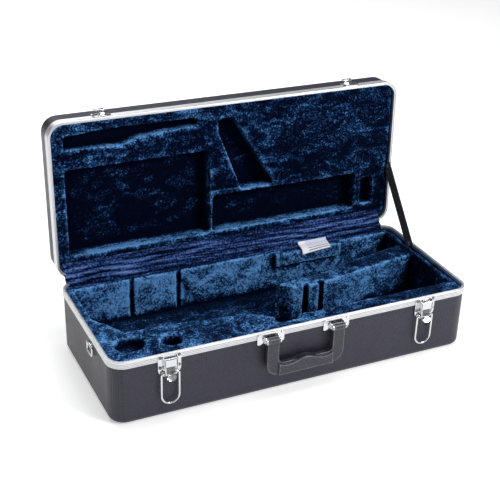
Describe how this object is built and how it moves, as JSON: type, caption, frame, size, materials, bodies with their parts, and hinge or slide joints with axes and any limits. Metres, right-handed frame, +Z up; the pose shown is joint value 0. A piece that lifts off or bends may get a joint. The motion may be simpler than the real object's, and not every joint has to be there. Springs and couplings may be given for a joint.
{
  "type": "instrument case",
  "caption": "Hard tenor saxophone case, standing open: hinged lid on a stay strap, moulded plush compartments, wire-bail latches, swinging handle and strap rings.",
  "frame": {"origin": "centre of the bottom shell's resting face", "axes": "+X along the length of the case, -Y out of the front with the latches and handle, +Y to the hinge side, +Z up"},
  "size_m": [0.832, 0.4494, 0.505],
  "materials": {
    "shell_plastic": "fine embossed grain, semi-matte black",
    "valance_aluminium": "bright anodised with fine lengthwise grooves",
    "plush": "deep navy crushed plush over foam",
    "hinge_plush": "violet-blue plush cloth",
    "webbing": "woven dark grey webbing",
    "paper_tag": "white folded slip",
    "handle_plastic": "satin black moulding",
    "plated_steel": "zinc plated",
    "chrome": "polished"
  },
  "bodies": {
    "case_body": {"bottom_shell": "shell_plastic", "lower_valance": "valance_aluminium", "lower_insert": "plush", "hinge_cover": "hinge_plush", "stay_strap": "webbing", "strap_washer_lower": "plated_steel", "strap_rivet_lower": "plated_steel", "folded_tag": "paper_tag", "hinge_leaf_lower_left": "plated_steel", "hinge_leaf_lower_centre": "plated_steel", "hinge_leaf_lower_right": "plated_steel", "hinge_pin_left": "plated_steel", "hinge_pin_centre": "plated_steel", "hinge_pin_right": "plated_steel", "hinge_rivets_lower": "plated_steel", "latch_base_left": "chrome", "latch_base_right": "chrome", "latch_pin_left": "chrome", "latch_pin_right": "chrome", "latch_rivets_left": "chrome", "latch_rivets_right": "chrome", "handle_bracket_left": "chrome", "handle_bracket_right": "chrome", "handle_pin_left": "chrome", "handle_pin_right": "chrome", "handle_rivets_left": "chrome", "handle_rivets_right": "chrome", "ring_keeper_left": "chrome", "ring_keeper_right": "chrome", "ring_rivets_left": "chrome", "ring_rivets_right": "chrome"},
    "lid": {"lid_shell": "shell_plastic", "upper_valance": "valance_aluminium", "lid_insert": "plush", "hinge_leaf_upper_left": "plated_steel", "hinge_leaf_upper_centre": "plated_steel", "hinge_leaf_upper_right": "plated_steel", "hinge_rivets_upper": "plated_steel", "strap_washer_upper": "plated_steel", "strap_rivet_upper": "plated_steel", "strike_plate_left": "chrome", "strike_plate_right": "chrome", "strike_rivets_left": "chrome", "strike_rivets_right": "chrome"},
    "lever_left": {"latch_lever_left": "chrome"},
    "lever_right": {"latch_lever_right": "chrome"},
    "bail_left": {"latch_bail_left": "chrome"},
    "bail_right": {"latch_bail_right": "chrome"},
    "carry_handle": {"handle": "handle_plastic"},
    "ring_left": {"strap_ring_left": "chrome"},
    "ring_right": {"strap_ring_right": "chrome"}
  },
  "joints": [
    {"name": "lid_hinge", "type": "hinge", "parent": "case_body", "child": "lid", "pos_m": [0, 0.1785, 0.145], "axis": [1, 0, 0], "range_deg": [0, 92], "deforming": ["hinge_cover", "stay_strap"]},
    {"name": "latch_lever_left", "type": "hinge", "parent": "case_body", "child": "lever_left", "pos_m": [-0.292, -0.1805, 0.135], "axis": [-1, 0, 0], "range_deg": [0, 95]},
    {"name": "latch_bail_left", "type": "hinge", "parent": "lever_left", "child": "bail_left", "pos_m": [-0.292, -0.1795, 0.105], "axis": [1, 0, 0], "range_deg": [-178, 0]},
    {"name": "latch_lever_right", "type": "hinge", "parent": "case_body", "child": "lever_right", "pos_m": [0.292, -0.1805, 0.135], "axis": [-1, 0, 0], "range_deg": [0, 95]},
    {"name": "latch_bail_right", "type": "hinge", "parent": "lever_right", "child": "bail_right", "pos_m": [0.292, -0.1795, 0.105], "axis": [1, 0, 0], "range_deg": [-178, 0]},
    {"name": "handle_swing", "type": "hinge", "parent": "case_body", "child": "carry_handle", "pos_m": [0, -0.186, 0.129], "axis": [-1, 0, 0], "range_deg": [0, 115]},
    {"name": "ring_swing_left", "type": "hinge", "parent": "case_body", "child": "ring_left", "pos_m": [-0.4128, -0.05, 0.123], "axis": [0, 1, 0], "range_deg": [0, 150]},
    {"name": "ring_swing_right", "type": "hinge", "parent": "case_body", "child": "ring_right", "pos_m": [0.4128, -0.05, 0.123], "axis": [0, -1, 0], "range_deg": [0, 150]}
  ]
}
